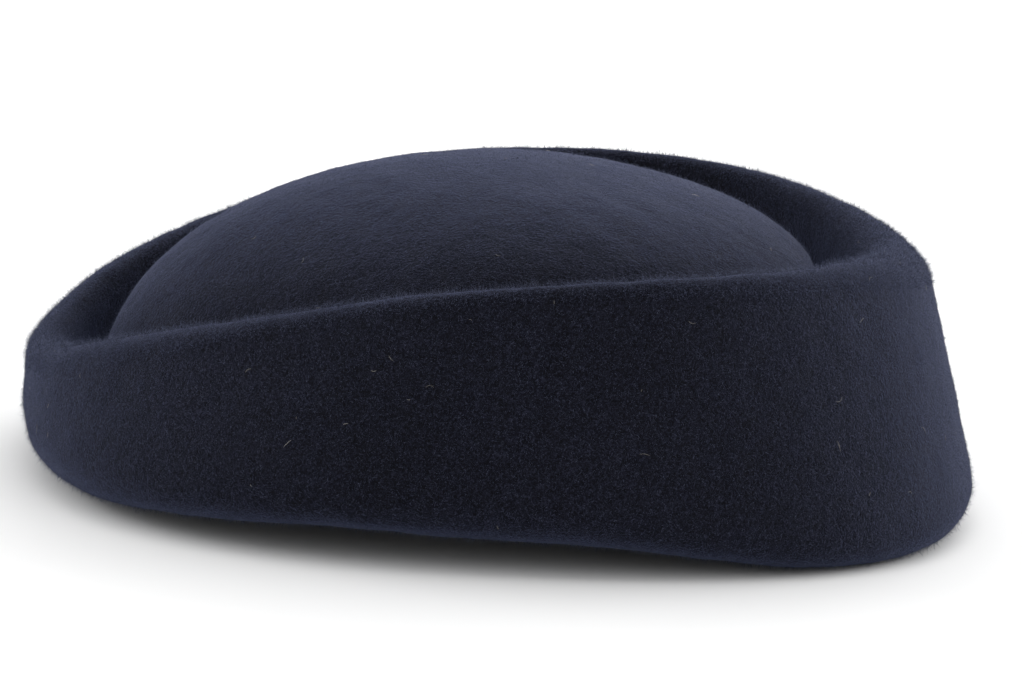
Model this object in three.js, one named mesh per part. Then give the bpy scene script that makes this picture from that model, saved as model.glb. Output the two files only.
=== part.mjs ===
// A woman's pillbox hat blocked from one piece of wool felt.
//
// The felt runs in one sheet: over a low domed crown, down into a groove, up and over a rolled crest,
// down the outside wall, round the foot and a little way in underneath, where it ends in a cut edge
// round the head opening.
//
// Millimetres. X runs from the front of the hat (-X) to the back (+X), Y across it and Z up. The origin
// is on the surface that the hat stands on, under the middle of its length and width.
import * as THREE from "three";

// Driving dimensions.
const HALF_LENGTH = 114; // of the outside wall at its widest, front to back
const HALF_WIDTH = 98.5; // of the outside wall at its widest, side to side
const FOOT_POWER = 2.7; // of the foot's oval: 2 is an ellipse, and more is squarer at the corners
const CREST_POWER = 1.9; // of the crest's oval, and of the crown above it
const CROWN_HEIGHT = 77; // top of the crown above the surface that the hat stands on
const FELT = 2.2; // thickness of the felt
const GROOVE_RADIUS = 3.5; // inside radius of the groove between the crown and the crest
const TURN_UNDER_ANGLE = -120; // degrees round the foot's arc where the felt leaves it; -90 is down
const TURN_UNDER_LENGTH = 6; // straight felt from there to the cut edge
const FELT_COLOUR = 0x1b1f33;

// The section through the felt, every 30 degrees from the back round to the front. The two sides are alike.
// Heights are above the standing surface, and insets are inwards from the outside wall at its widest.
const STATIONS = [
  {
    at: "back", crestHeight: 61, crestInset: 11.5, crestRadius: 9.5,
    footHeight: 0, footRadius: 9, crownInset: 39.5, crownFoot: 51.5,
  },
  {
    at: "back 30", crestHeight: 64.5, crestInset: 10.5, crestRadius: 7.5,
    footHeight: 0.3, footRadius: 7.5, crownInset: 33.5, crownFoot: 49.5,
  },
  {
    at: "back 60", crestHeight: 66.5, crestInset: 7.5, crestRadius: 4,
    footHeight: 1.2, footRadius: 7.5, crownInset: 29, crownFoot: 50,
  },
  {
    at: "side", crestHeight: 64, crestInset: 8.5, crestRadius: 3.5,
    footHeight: 6.5, footRadius: 8.5, crownInset: 29, crownFoot: 48.5,
  },
  {
    at: "front 60", crestHeight: 53.5, crestInset: 7, crestRadius: 4.5,
    footHeight: 5.5, footRadius: 9.5, crownInset: 28, crownFoot: 38,
  },
  {
    at: "front 30", crestHeight: 38, crestInset: 0, crestRadius: 6,
    footHeight: 2.5, footRadius: 11, crownInset: 23, crownFoot: 25,
  },
  {
    at: "front", crestHeight: 28.5, crestInset: 0, crestRadius: 5.5,
    footHeight: 0, footRadius: 14, crownInset: 18, crownFoot: 18,
  },
];

// The crown's foot as a circle of about the same size as its oval.
const CROWN_RADIUS = 74;

// How finely the felt is faceted.
const SECTIONS = 72; // round the hat
const CROWN_STEPS = 8;
const GROOVE_STEPS = 3;
const CREST_STEPS = 5;
const FOOT_STEPS = 5;

// A quantity from the table at any angle round the hat: the cosine series that passes through its seven
// values.
function roundTheHat(column, angle) {
  const last = STATIONS.length - 1;
  let sum = 0;
  for (let wave = 0; wave <= last; wave += 1) {
    let share = 0;
    STATIONS.forEach((station, row) => {
      const end = row === 0 || row === last ? 0.5 : 1;
      share += end * station[column] * Math.cos((wave * row * Math.PI) / last);
    });
    const end = wave === 0 || wave === last ? 0.5 : 1;
    sum += (end * share * 2 * Math.cos(wave * angle)) / last;
  }
  return sum;
}

// The direction, seen from each centre, of the points where one straight line touches two circles:
// outside both, or between them where the second radius is given as negative.
function tangentAngle(from, fromRadius, to, toRadius) {
  const line = new THREE.Vector2().subVectors(to, from);
  return line.angle() + Math.acos((fromRadius - toRadius) / line.length());
}

// One skin of the felt in the section at an angle, from the top of the crown to the cut edge. x is
// measured outwards from the hat's axis as if the crown's foot were a circle of CROWN_RADIUS. depth is
// 0 for the outer skin and FELT for the inner one, whose arcs have the same centres.
function skinProfile(angle, depth) {
  const value = (column) => roundTheHat(column, angle);
  const wallX = CROWN_RADIUS + value("crownInset");
  const crownFoot = value("crownFoot");
  const crestRadius = value("crestRadius");
  const footRadius = value("footRadius");
  const groove = new THREE.Vector2(CROWN_RADIUS + GROOVE_RADIUS, crownFoot);
  const crestX = wallX - value("crestInset") - crestRadius;
  const crest = new THREE.Vector2(crestX, value("crestHeight") - crestRadius);
  const foot = new THREE.Vector2(wallX - footRadius, value("footHeight") + footRadius);

  const crownR = CROWN_RADIUS - depth;
  const grooveR = GROOVE_RADIUS + depth;
  const crestR = crestRadius - depth;
  const footR = footRadius - depth;
  const innerWall = tangentAngle(groove, -grooveR, crest, crestR);
  const outerWall = tangentAngle(crest, crestR, foot, footR);
  const turnUnder = THREE.MathUtils.degToRad(TURN_UNDER_ANGLE);
  const arc = (centre, radius, start, end, clockwise) =>
    new THREE.EllipseCurve(centre.x, centre.y, radius, radius, start, end, clockwise);

  const crownArc = new THREE.EllipseCurve(
    0, crownFoot, crownR, CROWN_HEIGHT - depth - crownFoot, Math.PI / 2, 0, true,
  );
  const grooveArc = arc(groove, grooveR, Math.PI, innerWall + Math.PI, false);
  const crestArc = arc(crest, crestR, innerWall, outerWall, true);
  const footArc = arc(foot, footR, outerWall, turnUnder, true);
  const underside = new THREE.Vector2(Math.sin(turnUnder), -Math.cos(turnUnder));
  const cutEdge = footArc.getPoint(1).addScaledVector(underside, TURN_UNDER_LENGTH);
  return [
    ...crownArc.getPoints(CROWN_STEPS),
    ...grooveArc.getPoints(GROOVE_STEPS).slice(1),
    ...crestArc.getPoints(CREST_STEPS),
    ...footArc.getPoints(FOOT_STEPS),
    cutEdge,
  ];
}

// The ovals go evenly from the foot's power to the crest's as they rise.
function ovalPower(height, angle) {
  const rise = THREE.MathUtils.clamp(height / roundTheHat("crestHeight", angle), 0, 1);
  return THREE.MathUtils.lerp(FOOT_POWER, CREST_POWER, rise);
}

// A section's point in the hat: scaled with the crown's oval inside the crown's foot, and set outwards
// beyond it.
function placeInHat(point, angle) {
  const crownInset = roundTheHat("crownInset", angle);
  const scale = Math.min(point.x / CROWN_RADIUS, 1);
  const beyond = Math.max(point.x - CROWN_RADIUS, 0);
  const power = ovalPower(point.y, angle);
  const squared = (share) => Math.sign(share) * Math.abs(share) ** (2 / power);
  return new THREE.Vector3(
    ((HALF_LENGTH - crownInset) * scale + beyond) * squared(Math.cos(angle)),
    ((HALF_WIDTH - crownInset) * scale + beyond) * squared(Math.sin(angle)),
    point.y,
  );
}

// A closed surface through sections that all start and end at one shared point each on the hat's axis.
function loft(sections) {
  const rings = sections[0].length - 2;
  const first = sections[0][0];
  const last = sections[0][rings + 1];
  const points = [first, last, ...sections.flatMap((section) => section.slice(1, -1))];
  const at = (section, ring) => 2 + (section % sections.length) * rings + ring;
  const index = [];
  sections.forEach((_, s) => {
    index.push(0, at(s, 0), at(s + 1, 0));
    for (let ring = 0; ring < rings - 1; ring += 1) {
      index.push(at(s, ring), at(s, ring + 1), at(s + 1, ring + 1));
      index.push(at(s, ring), at(s + 1, ring + 1), at(s + 1, ring));
    }
    index.push(1, at(s + 1, rings - 1), at(s, rings - 1));
  });
  const geometry = new THREE.BufferGeometry().setFromPoints(points);
  geometry.setIndex(index);
  geometry.computeVertexNormals();
  return geometry;
}

function feltBody() {
  const sections = [];
  for (let s = 0; s < SECTIONS; s += 1) {
    const angle = (s * 2 * Math.PI) / SECTIONS;
    const outer = skinProfile(angle, 0);
    const inner = skinProfile(angle, FELT).reverse();
    sections.push([...outer, ...inner].map((point) => placeInHat(point, angle)));
  }
  const felt = new THREE.MeshStandardMaterial({ color: FELT_COLOUR, roughness: 0.95, metalness: 0 });
  const body = new THREE.Mesh(loft(sections), felt);
  body.name = "felt_body";
  return body;
}

const hat = new THREE.Group();
hat.add(feltBody());

export default hat;
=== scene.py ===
"""A woman's navy felt pillbox hat: the felt's surface, its nap and the lint on it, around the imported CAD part.

Metres, in the CAD part's frame: X from the front of the hat (-X) to the back, Y across it, Z up, floor at Z = 0.
"""
import math

import bpy
import numpy as np
from mathutils import Matrix, Vector


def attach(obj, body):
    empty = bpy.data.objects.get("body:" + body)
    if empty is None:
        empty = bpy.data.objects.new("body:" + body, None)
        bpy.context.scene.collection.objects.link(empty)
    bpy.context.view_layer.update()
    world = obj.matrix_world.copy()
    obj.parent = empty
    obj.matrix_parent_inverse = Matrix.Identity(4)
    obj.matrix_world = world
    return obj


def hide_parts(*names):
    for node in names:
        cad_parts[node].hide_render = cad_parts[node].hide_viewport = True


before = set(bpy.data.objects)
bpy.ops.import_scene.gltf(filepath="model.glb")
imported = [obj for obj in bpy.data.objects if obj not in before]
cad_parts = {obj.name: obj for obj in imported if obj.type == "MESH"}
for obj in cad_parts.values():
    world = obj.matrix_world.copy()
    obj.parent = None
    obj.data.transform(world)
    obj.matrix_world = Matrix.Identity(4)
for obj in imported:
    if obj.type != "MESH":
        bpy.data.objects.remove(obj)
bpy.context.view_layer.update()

MM = 0.001

# The hat's driving dimensions, in millimetres, as the CAD part has them.
HALF_LENGTH = 114
HALF_WIDTH = 98.5
FOOT_POWER = 2.7
CREST_POWER = 1.9
CROWN_HEIGHT = 77
CROWN_RADIUS = 74
FELT = 2.2
GROOVE_RADIUS = 3.5
TURN_UNDER_ANGLE = -120
TURN_UNDER_LENGTH = 6

# The section through the felt every 30 degrees from the back round to the front, in millimetres. It is
# the CAD part's.
COLUMNS = ("crest_height", "crest_inset", "crest_radius", "foot_height", "foot_radius", "crown_inset", "crown_foot")
STATIONS = {
    "back": (61, 11.5, 9.5, 0, 9, 39.5, 51.5),
    "back 30": (64.5, 10.5, 7.5, 0.3, 7.5, 33.5, 49.5),
    "back 60": (66.5, 7.5, 4, 1.2, 7.5, 29, 50),
    "side": (64, 8.5, 3.5, 6.5, 8.5, 29, 48.5),
    "front 60": (53.5, 7, 4.5, 5.5, 9.5, 28, 38),
    "front 30": (38, 0, 6, 2.5, 11, 23, 25),
    "front": (28.5, 0, 5.5, 0, 14, 18, 18),
}

# How finely the felt is meshed: sections round the hat, and steps along each stretch of a section.
SECTIONS = 300
OUTER_STEPS = {"crown": 40, "groove": 9, "inner_wall": 9, "crest": 12, "wall": 22, "foot": 12, "underside": 4}
INNER_STEPS = {"crown": 20, "groove": 6, "inner_wall": 5, "crest": 6, "wall": 12, "foot": 8, "underside": 4}
EDGE_STEPS = 4

# The felt's unevenness: (how far it moves the surface, wavelength, seed), in millimetres.
UNEVENNESS = ((0.16, 50, 11), (0.07, 15, 12), (0.04, 6, 13))

# The nap: piece name, the stretches that it grows on, which end of the hat, how many hairs, their usual length in
# millimetres, and how far they lean from upright at least and at most, in degrees.
NAP = (
    ("nap_crown", {"crown": 1, "groove": 0.5, "inner_wall": 0.8}, 0, 46000, 0.75, 35, 82),
    ("nap_crest", {"crest": 1}, 0, 44000, 1.2, 5, 66),
    ("nap_wall_front", {"wall": 1}, -1, 34000, 0.75, 35, 82),
    ("nap_wall_back", {"wall": 1}, 1, 40000, 0.75, 35, 82),
    ("nap_foot", {"foot": 1, "underside": 0.6}, 0, 42000, 1.0, 15, 76),
)
HAIR_RADIUS = 0.03  # at the root, in millimetres
NAP_SEED = 21

LINT_COUNT = 110
LINT_RADIUS = 0.034
LINT_SEED = 34

# The camera: its angles in degrees, and its distance and the point it looks at, across and up its own view, in metres.
AZIMUTH = -4.54
ELEVATION = 12.09
ROLL = 3.72
DISTANCE = 1.2
AIM_ACROSS = 0.00215
AIM_UP = 0.03202
FOCAL_PIXELS = 4950
IMAGE_WIDTH = 1022
SENSOR = 36.0

# The studio's soft light, from the front of the picture and from behind the hat.
FRONT_LIGHT = 0.5
BACK_LIGHT = 1.0


# ---------------------------------------------------------------- the felt's shape


def round_the_hat(column, angle):
    """A quantity from the table at angles round the hat: the cosine series through its seven values."""
    values = np.array([row[COLUMNS.index(column)] for row in STATIONS.values()], float)
    last = len(values) - 1
    ends = np.ones(last + 1)
    ends[[0, last]] = 0.5
    rows = np.arange(last + 1)
    total = np.zeros_like(angle)
    for wave in rows:
        share = np.sum(ends * values * np.cos(wave * rows * math.pi / last))
        total += ends[wave] * share * 2 / last * np.cos(wave * angle)
    return total


def tangent_angle(start, start_radius, end, end_radius):
    """The direction from each centre of the points where one straight line touches two circles."""
    dx, dz = end[0] - start[0], end[1] - start[1]
    return np.arctan2(dz, dx) + np.arccos((start_radius - end_radius) / np.hypot(dx, dz))


def skin(angle, depth, steps):
    """One skin's sections at all the angles, (sections, points, 2), and the name of the stretch that each point ends."""
    q = {column: round_the_hat(column, angle) for column in COLUMNS}
    wall_x = CROWN_RADIUS + q["crown_inset"]
    groove = (np.full_like(angle, CROWN_RADIUS + GROOVE_RADIUS), q["crown_foot"])
    crest = (wall_x - q["crest_inset"] - q["crest_radius"], q["crest_height"] - q["crest_radius"])
    foot = (wall_x - q["foot_radius"], q["foot_height"] + q["foot_radius"])
    groove_r = np.full_like(angle, GROOVE_RADIUS + depth)
    crest_r = q["crest_radius"] - depth
    foot_r = q["foot_radius"] - depth
    inner_wall = tangent_angle(groove, -groove_r, crest, crest_r)
    outer_wall = tangent_angle(crest, crest_r, foot, foot_r)
    turn_under = np.full_like(angle, math.radians(TURN_UNDER_ANGLE))

    points, stretch = [], []

    def add(name, xs, zs):
        points.append(np.stack([xs, zs], -1))
        stretch.append(name)

    def arc(name, centre, radius_x, radius_z, start, end, first):
        for step in range(first, steps[name] + 1):
            turn = start + (end - start) * step / steps[name]
            add(name, centre[0] + radius_x * np.cos(turn), centre[1] + radius_z * np.sin(turn))

    def line(name, end):
        start = points[-1]
        for step in range(1, steps[name] + 1):
            point = start + (end - start) * step / steps[name]
            add(name, point[:, 0], point[:, 1])

    def on_circle(centre, radius, turn):
        return np.stack([centre[0] + radius * np.cos(turn), centre[1] + radius * np.sin(turn)], -1)

    zero = np.zeros_like(angle)
    quarter = np.full_like(angle, math.pi / 2)
    crown_r = CROWN_RADIUS - depth
    arc("crown", (zero, q["crown_foot"]), crown_r, CROWN_HEIGHT - depth - q["crown_foot"], quarter, zero, 0)
    arc("groove", groove, groove_r, groove_r, zero + math.pi, inner_wall + math.pi, 1)
    line("inner_wall", on_circle(crest, crest_r, inner_wall))
    arc("crest", crest, crest_r, crest_r, inner_wall, outer_wall, 1)
    line("wall", on_circle(foot, foot_r, outer_wall))
    arc("foot", foot, foot_r, foot_r, outer_wall, turn_under, 1)
    under = np.stack([np.sin(turn_under), -np.cos(turn_under)], -1)
    line("underside", points[-1] + under * TURN_UNDER_LENGTH)
    return np.stack(points, 1), stretch


def cut_edge(outer_end, inner_end):
    """The rounded cut edge between the two skins."""
    middle = (outer_end + inner_end) / 2
    across = (outer_end - inner_end) / 2
    out = np.stack([across[:, 1], -across[:, 0]], -1)
    turn_under = math.radians(TURN_UNDER_ANGLE)
    under = np.array([math.sin(turn_under), -math.cos(turn_under)])
    out *= np.sign(np.sum(out * under, -1, keepdims=True))
    turns = np.linspace(0, math.pi, EDGE_STEPS + 2)[1:-1]
    return np.stack([middle + across * math.cos(t) + 0.6 * out * math.sin(t) for t in turns], 1)


def place_in_hat(section, angle):
    """Section points in the hat: scaled with the crown's oval inside its foot, and set outwards beyond it."""
    crown_inset = round_the_hat("crown_inset", angle)[:, None]
    scale = np.minimum(section[..., 0] / CROWN_RADIUS, 1)
    beyond = np.maximum(section[..., 0] - CROWN_RADIUS, 0)
    rise = np.clip(section[..., 1] / round_the_hat("crest_height", angle)[:, None], 0, 1)
    power = FOOT_POWER + (CREST_POWER - FOOT_POWER) * rise

    def squared(share):
        return np.sign(share)[:, None] * np.abs(share)[:, None] ** (2 / power)

    x = ((HALF_LENGTH - crown_inset) * scale + beyond) * squared(np.cos(angle))
    y = ((HALF_WIDTH - crown_inset) * scale + beyond) * squared(np.sin(angle))
    return np.stack([x, y, section[..., 1]], -1)


def waves(points, wavelength, seed, count=24):
    """A smooth random field, about -1 to 1, at points."""
    rng = np.random.default_rng(seed)
    field = np.zeros(points.shape[:-1])
    for _ in range(count):
        direction = rng.normal(size=3)
        direction *= 2 * math.pi / wavelength / np.linalg.norm(direction) * rng.uniform(0.7, 1.4)
        field += np.sin(points @ direction + rng.uniform(0, 2 * math.pi))
    return field / math.sqrt(count / 2)


def grid_normals(grid):
    """Outward normals of a grid of points that closes on itself along its first axis."""
    round_ = np.roll(grid, -1, 0) - np.roll(grid, 1, 0)
    along = np.gradient(grid, axis=1)
    normal = np.cross(along, round_)
    length = np.linalg.norm(normal, axis=-1, keepdims=True)
    return normal / np.maximum(length, 1e-9)


def felt_grid():
    """The felt's surface as a grid in metres, (sections, points, 3), its normals, and each point's stretch."""
    # The ovals are squarer than ellipses, so equal steps of angle are spread more evenly along them.
    angle = np.arange(SECTIONS) * 2 * math.pi / SECTIONS
    angle = angle - 0.10 * np.sin(4 * angle)
    outer, stretch = skin(angle, 0, OUTER_STEPS)
    inner, _ = skin(angle, FELT, INNER_STEPS)
    inner = inner[:, ::-1]
    edge = cut_edge(outer[:, -1], inner[:, 0])
    section = np.concatenate([outer, edge, inner], 1)
    stretch = stretch + ["edge"] * EDGE_STEPS + ["inside"] * inner.shape[1]
    grid = place_in_hat(section, angle)
    normals = grid_normals(grid)
    for pole, up in ((0, 1.0), (-1, -1.0)):
        normals[:, pole] = (0, 0, up)
    for height, wavelength, seed in UNEVENNESS:
        grid = grid + normals * (height * waves(grid, wavelength, seed))[..., None]
    for pole in (0, -1):
        grid[:, pole] = grid[:, pole].mean(0)
    grid[..., 2] = np.clip(grid[..., 2], 0.02, None)
    return grid * MM, normals, stretch


# ---------------------------------------------------------------- meshes


def new_object(name, points, faces, material):
    mesh = bpy.data.meshes.new(name)
    mesh.from_pydata(points, [], faces)
    mesh.polygons.foreach_set("use_smooth", np.ones(len(mesh.polygons), bool))
    mesh.materials.append(material)
    mesh.update()
    piece = bpy.data.objects.new(name, mesh)
    bpy.context.scene.collection.objects.link(piece)
    return piece


def fast_object(name, points, triangles, material):
    """A mesh object from arrays of points and triangles."""
    mesh = bpy.data.meshes.new(name)
    mesh.vertices.add(len(points))
    mesh.vertices.foreach_set("co", points.astype(np.float32).ravel())
    mesh.loops.add(triangles.size)
    mesh.loops.foreach_set("vertex_index", triangles.astype(np.int32).ravel())
    mesh.polygons.add(len(triangles))
    mesh.polygons.foreach_set("loop_start", np.arange(0, triangles.size, 3, dtype=np.int32))
    mesh.polygons.foreach_set("use_smooth", np.ones(len(triangles), bool))
    mesh.materials.append(material)
    mesh.update(calc_edges=True)
    piece = bpy.data.objects.new(name, mesh)
    bpy.context.scene.collection.objects.link(piece)
    return piece


def felt_shell(grid, material):
    sections, rings = grid.shape[0], grid.shape[1] - 2
    points = [grid[0, 0], grid[0, -1], *grid[:, 1:-1].reshape(-1, 3)]

    def at(section, ring):
        return 2 + (section % sections) * rings + ring

    faces = []
    for s in range(sections):
        faces.append((0, at(s, 0), at(s + 1, 0)))
        for ring in range(rings - 1):
            faces.append((at(s, ring), at(s, ring + 1), at(s + 1, ring + 1), at(s + 1, ring)))
        faces.append((1, at(s + 1, rings - 1), at(s, rings - 1)))
    return new_object("felt", [tuple(p) for p in points], faces, material)


def cells_on(grid, stretch, shares, end):
    """The grid cells on some stretches, and how likely each is to be picked: its area times its stretch's share."""
    a, b = grid[:, :-1], grid[:, 1:]
    c, d = np.roll(a, -1, 0), np.roll(b, -1, 0)
    area = np.linalg.norm(np.cross(d - a, c - b), axis=-1) / 2
    weight = np.array([shares.get(name, 0) for name in stretch[1:]], float)
    chance = area * weight
    if end:
        chance = chance * (np.sign(a[..., 0]) == end)
    return (chance / chance.sum()).ravel(), chance.shape


def scatter(rng, count, grid, normals, stretch, shares, end=0):
    """Random points on some stretches of the felt, with their normals."""
    chance, shape = cells_on(grid, stretch, shares, end)
    s, r = np.unravel_index(rng.choice(chance.size, count, p=chance), shape)
    s2 = (s + 1) % grid.shape[0]
    u, v = rng.random((2, count, 1))

    def blend(field):
        near = field[s, r] * (1 - v) + field[s, r + 1] * v
        far = field[s2, r] * (1 - v) + field[s2, r + 1] * v
        return near * (1 - u) + far * u

    normal = blend(normals)
    return blend(grid), normal / np.linalg.norm(normal, axis=-1, keepdims=True)


def across(rng, normal):
    """A random unit vector square to each normal, and the one square to both."""
    side = rng.normal(size=normal.shape)
    side -= normal * np.sum(side * normal, -1, keepdims=True)
    side /= np.linalg.norm(side, axis=-1, keepdims=True)
    return side, np.cross(normal, side)


def nap(name, shares, end, count, length, lean_least, lean_most, field, seed, material):
    """A joined mesh of short hairs: each is a closed three-sided spike that leans over from the felt."""
    rng = np.random.default_rng(seed)
    root, normal = scatter(rng, count, *field, shares, end)
    side, other = across(rng, normal)
    lean = np.radians(rng.uniform(lean_least, lean_most, (count, 1)))
    lengths = length * MM * np.clip(rng.lognormal(0, 0.45, (count, 1)), 0.35, 2.6)
    tip = root + lengths * (normal * np.cos(lean) + side * np.sin(lean))
    radius = HAIR_RADIUS * MM * rng.uniform(0.6, 1.3, (count, 1))
    sunk = root - normal * 0.05 * MM
    corners = []
    for turn in (0, 2 * math.pi / 3, 4 * math.pi / 3):
        rim = other * math.cos(turn) + np.cross(other, tip - root) / lengths * math.sin(turn)
        corners.append(sunk + rim * radius)
    points = np.stack([*corners, tip], 1).reshape(-1, 3)
    points[:, 2] = np.maximum(points[:, 2], 0.02 * MM)
    spike = np.array([(0, 1, 3), (1, 2, 3), (2, 0, 3), (2, 1, 0)])
    triangles = (np.arange(count)[:, None, None] * 4 + spike).reshape(-1, 3)
    return fast_object(name, points, triangles, material)


def lint(field, material):
    """Short pale fibres that have settled on the felt: curved closed tubes, a little proud of it."""
    rng = np.random.default_rng(LINT_SEED)
    shares = {"wall": 1.0, "crest": 1.2, "crown": 0.35, "foot": 0.5}
    root, normal = scatter(rng, LINT_COUNT, *field, shares)
    side, other = across(rng, normal)
    knots = 7
    sides = 3
    points, triangles = [], []
    for n in range(LINT_COUNT):
        length = MM * rng.uniform(0.4, 2.6)
        bend = rng.uniform(-2.4, 2.4)
        height = MM * rng.uniform(0.15, 0.4)
        base = len(points)
        centre = root[n] + normal[n] * height
        for k in range(knots):
            turn = bend * (k / (knots - 1) - 0.5)
            heading = side[n] * math.cos(turn) + other[n] * math.sin(turn)
            thin = LINT_RADIUS * MM * (1 - 0.5 * abs(2 * k / (knots - 1) - 1))
            rim = np.cross(heading, normal[n])
            for j in range(sides):
                around = 2 * math.pi * j / sides
                points.append(centre + thin * (rim * math.cos(around) + normal[n] * math.sin(around)))
            centre = centre + heading * length / (knots - 1)
        for k in range(knots - 1):
            for j in range(sides):
                a, b = base + k * sides + j, base + k * sides + (j + 1) % sides
                triangles += [(a, b, b + sides), (a, b + sides, a + sides)]
        last = base + (knots - 1) * sides
        triangles += [(base + 2, base + 1, base), (last, last + 1, last + 2)]
    return fast_object("lint", np.array(points), np.array(triangles), material)


# ---------------------------------------------------------------- materials


def new_material(name):
    material = bpy.data.materials.new(name)
    material.use_nodes = True
    nodes = material.node_tree.nodes
    return material, material.node_tree, nodes["Principled BSDF"]


def noise(tree, scale, detail, roughness=0.55, distortion=0.0):
    """A noise texture in the hat's own space; scale is features per metre."""
    place = tree.nodes.new("ShaderNodeTexCoord")
    texture = tree.nodes.new("ShaderNodeTexNoise")
    texture.inputs["Scale"].default_value = scale
    texture.inputs["Detail"].default_value = detail
    texture.inputs["Roughness"].default_value = roughness
    texture.inputs["Distortion"].default_value = distortion
    tree.links.new(place.outputs["Object"], texture.inputs["Vector"])
    return texture.outputs["Fac"]


def ramp(tree, value, stops):
    node = tree.nodes.new("ShaderNodeValToRGB")
    elements = node.color_ramp.elements
    while len(elements) < len(stops):
        elements.new(0.5)
    for element, (position, colour) in zip(elements, stops):
        element.position = position
        element.color = (*colour, 1)
    tree.links.new(value, node.inputs["Fac"])
    return node.outputs["Color"]


def mix_colour(tree, kind, factor, first, second):
    node = tree.nodes.new("ShaderNodeMix")
    node.data_type = "RGBA"
    node.blend_type = kind
    node.inputs[0].default_value = factor
    tree.links.new(first, node.inputs[6])
    tree.links.new(second, node.inputs[7])
    return node.outputs[2]


def bump(tree, height, distance, strength, under=None):
    node = tree.nodes.new("ShaderNodeBump")
    node.inputs["Distance"].default_value = distance
    node.inputs["Strength"].default_value = strength
    tree.links.new(height, node.inputs["Height"])
    if under is not None:
        tree.links.new(under, node.inputs["Normal"])
    return node.outputs["Normal"]


def map_range(tree, value, low, high):
    node = tree.nodes.new("ShaderNodeMapRange")
    node.inputs["From Min"].default_value = 0.3
    node.inputs["From Max"].default_value = 0.7
    node.inputs["To Min"].default_value = low
    node.inputs["To Max"].default_value = high
    tree.links.new(value, node.inputs["Value"])
    return node.outputs["Result"]


def felt_material():
    """Pressed navy wool: a fine tangled grain, soft mottling, and broad patches where the nap lies differently."""
    material, tree, shader = new_material("navy_felt")
    grain = noise(tree, 2400, 5, 0.65, 0.6)
    tangle = noise(tree, 900, 4, 0.6, 1.2)
    mottle = noise(tree, 230, 3)
    patches = noise(tree, 38, 2)
    navy = ramp(tree, grain, ((0.34, (0.0014, 0.0015, 0.0028)), (0.5, (0.0058, 0.0062, 0.0114)), (0.66, (0.023, 0.025, 0.042))))
    clumps = ramp(tree, tangle, ((0.36, (0.45, 0.45, 0.48)), (0.64, (1.5, 1.5, 1.5))))
    shade = ramp(tree, mottle, ((0.3, (0.82, 0.82, 0.84)), (0.7, (1.15, 1.15, 1.15))))
    broad = ramp(tree, patches, ((0.35, (0.88, 0.88, 0.9)), (0.65, (1.1, 1.1, 1.12))))
    colour = mix_colour(tree, "MULTIPLY", 1.0, navy, clumps)
    colour = mix_colour(tree, "MULTIPLY", 1.0, colour, shade)
    colour = mix_colour(tree, "MULTIPLY", 1.0, colour, broad)
    tree.links.new(colour, shader.inputs["Base Color"])
    tree.links.new(map_range(tree, mottle, 0.86, 1.0), shader.inputs["Roughness"])
    normal = bump(tree, mottle, 0.0006, 0.5)
    normal = bump(tree, tangle, 0.0006, 0.8, normal)
    normal = bump(tree, grain, 0.0003, 0.9, normal)
    tree.links.new(normal, shader.inputs["Normal"])
    shader.inputs["Specular IOR Level"].default_value = 0.12
    shader.inputs["Sheen Weight"].default_value = 0.34
    shader.inputs["Sheen Roughness"].default_value = 0.3
    shader.inputs["Sheen Tint"].default_value = (0.44, 0.53, 0.98, 1)
    return material


def nap_material():
    """The hairs of the nap: the same navy wool, lighter where single fibres catch the light."""
    material, tree, shader = new_material("navy_nap")
    hairs = noise(tree, 1500, 3, 0.7)
    patches = noise(tree, 60, 2)
    colour = ramp(tree, hairs, ((0.34, (0.007, 0.008, 0.014)), (0.5, (0.030, 0.033, 0.056)), (0.68, (0.12, 0.13, 0.19))))
    broad = ramp(tree, patches, ((0.35, (0.85, 0.85, 0.87)), (0.65, (1.15, 1.15, 1.15))))
    tree.links.new(mix_colour(tree, "MULTIPLY", 1.0, colour, broad), shader.inputs["Base Color"])
    tree.links.new(map_range(tree, hairs, 0.7, 0.95), shader.inputs["Roughness"])
    tree.links.new(bump(tree, hairs, 0.00005, 0.3), shader.inputs["Normal"])
    shader.inputs["Specular IOR Level"].default_value = 0.15
    shader.inputs["Sheen Weight"].default_value = 0.4
    shader.inputs["Sheen Roughness"].default_value = 0.4
    shader.inputs["Sheen Tint"].default_value = (0.50, 0.60, 1.0, 1)
    return material


def lint_material():
    """Undyed fibres, from pale straw to grey."""
    material, tree, shader = new_material("pale_lint")
    tone = noise(tree, 120, 2)
    colour = ramp(tree, tone, ((0.35, (0.30, 0.27, 0.22)), (0.65, (0.68, 0.66, 0.60))))
    tree.links.new(colour, shader.inputs["Base Color"])
    tree.links.new(map_range(tree, tone, 0.6, 0.85), shader.inputs["Roughness"])
    tree.links.new(bump(tree, noise(tree, 4000, 2), 0.00002, 0.3), shader.inputs["Normal"])
    shader.inputs["Specular IOR Level"].default_value = 0.3
    return material


# ---------------------------------------------------------------- the stage


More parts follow.
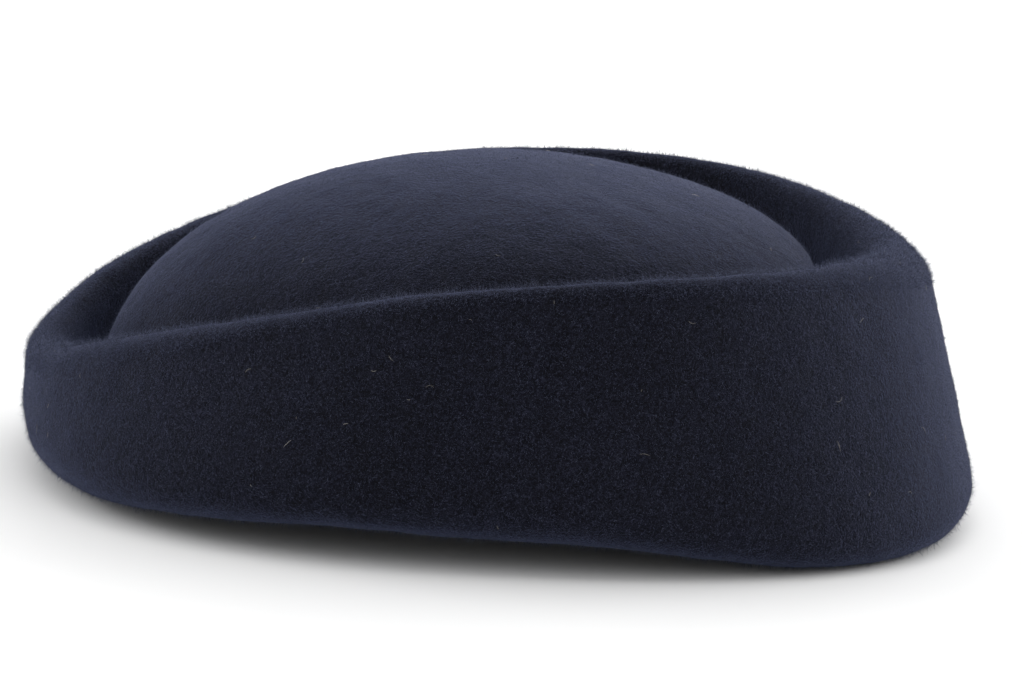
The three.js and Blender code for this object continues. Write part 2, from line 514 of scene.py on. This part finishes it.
def camera():
    azimuth, elevation, roll = (math.radians(a) for a in (AZIMUTH, ELEVATION, ROLL))
    back = Vector((math.sin(azimuth) * math.cos(elevation), -math.cos(azimuth) * math.cos(elevation), math.sin(elevation)))
    right = Vector((math.cos(azimuth), math.sin(azimuth), 0))
    up = back.cross(right)
    rolled_right = right * math.cos(roll) + up * math.sin(roll)
    rolled_up = up * math.cos(roll) - right * math.sin(roll)
    place = right * AIM_ACROSS + up * AIM_UP + back * DISTANCE
    data = bpy.data.cameras.new("camera")
    data.sensor_width = SENSOR
    data.lens = FOCAL_PIXELS / IMAGE_WIDTH * SENSOR
    data.clip_start = 0.05
    data.clip_end = 60
    eye = bpy.data.objects.new("camera", data)
    eye.matrix_world = Matrix((rolled_right, rolled_up, back)).transposed().to_4x4()
    eye.location = place
    bpy.context.scene.collection.objects.link(eye)
    bpy.context.scene.camera = eye


def softbox(name, place, size, power):
    """A square area light that faces the hat."""
    data = bpy.data.lights.new(name, "AREA")
    data.size = size
    data.energy = power
    light = bpy.data.objects.new(name, data)
    light.location = place
    facing = Vector((0, 0, 0.03)) - Vector(place)
    light.rotation_euler = facing.to_track_quat("-Z", "Y").to_euler()
    bpy.context.scene.collection.objects.link(light)


def floor():
    """A wide pale disc under the hat."""
    radius = 8.0
    rim = [(radius * math.cos(t), radius * math.sin(t), 0) for t in np.arange(64) * 2 * math.pi / 64]
    material, tree, shader = new_material("pale_floor")
    colour = ramp(tree, noise(tree, 3, 2), ((0.3, (0.90, 0.90, 0.90)), (0.7, (0.92, 0.92, 0.92))))
    tree.links.new(colour, shader.inputs["Base Color"])
    shader.inputs["Roughness"].default_value = 0.9
    shader.inputs["Specular IOR Level"].default_value = 0.1
    disc = new_object("floor", rim, [tuple(range(64))], material)


def studio_light():
    """Soft white light from all round, weaker from the front, where the hat is seen from."""
    world = bpy.data.worlds.new("studio")
    world.use_nodes = True
    tree = world.node_tree
    place = tree.nodes.new("ShaderNodeTexCoord")
    parts = tree.nodes.new("ShaderNodeSeparateXYZ")
    strength = tree.nodes.new("ShaderNodeMapRange")
    strength.inputs["From Min"].default_value = -1.0
    strength.inputs["From Max"].default_value = 0.6
    strength.inputs["To Min"].default_value = FRONT_LIGHT
    strength.inputs["To Max"].default_value = BACK_LIGHT
    tree.links.new(place.outputs["Generated"], parts.inputs["Vector"])
    tree.links.new(parts.outputs["Y"], strength.inputs["Value"])
    tree.links.new(strength.outputs["Result"], tree.nodes["Background"].inputs["Strength"])
    tree.nodes["Background"].inputs["Color"].default_value = (1, 1, 1, 1)
    bpy.context.scene.world = world


def stage():
    bpy.context.scene.view_settings.view_transform = "Standard"
    studio_light()
    softbox("top_softbox", (0.1, 0.6, 1.5), 2.0, 7)
    softbox("rear_softbox", (0.5, 1.7, 0.7), 1.6, 16)
    softbox("left_softbox", (-1.5, 0.4, 0.5), 1.2, 14)
    softbox("right_softbox", (1.5, 0.5, 0.6), 1.2, 17)
    floor()


# ---------------------------------------------------------------- the hat


def hat():
    grid, normals, stretch = felt_grid()
    field = (grid, normals, stretch)
    shell = felt_shell(grid, felt_material())
    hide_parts("felt_body")
    pieces = [shell]
    hairs = nap_material()
    for row, (name, shares, end, count, length, least, most) in enumerate(NAP):
        pieces.append(nap(name, shares, end, count, length, least, most, field, NAP_SEED + row, hairs))
    pieces.append(lint(field, lint_material()))
    for piece in pieces:
        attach(piece, "root")


camera()
stage()
hat()
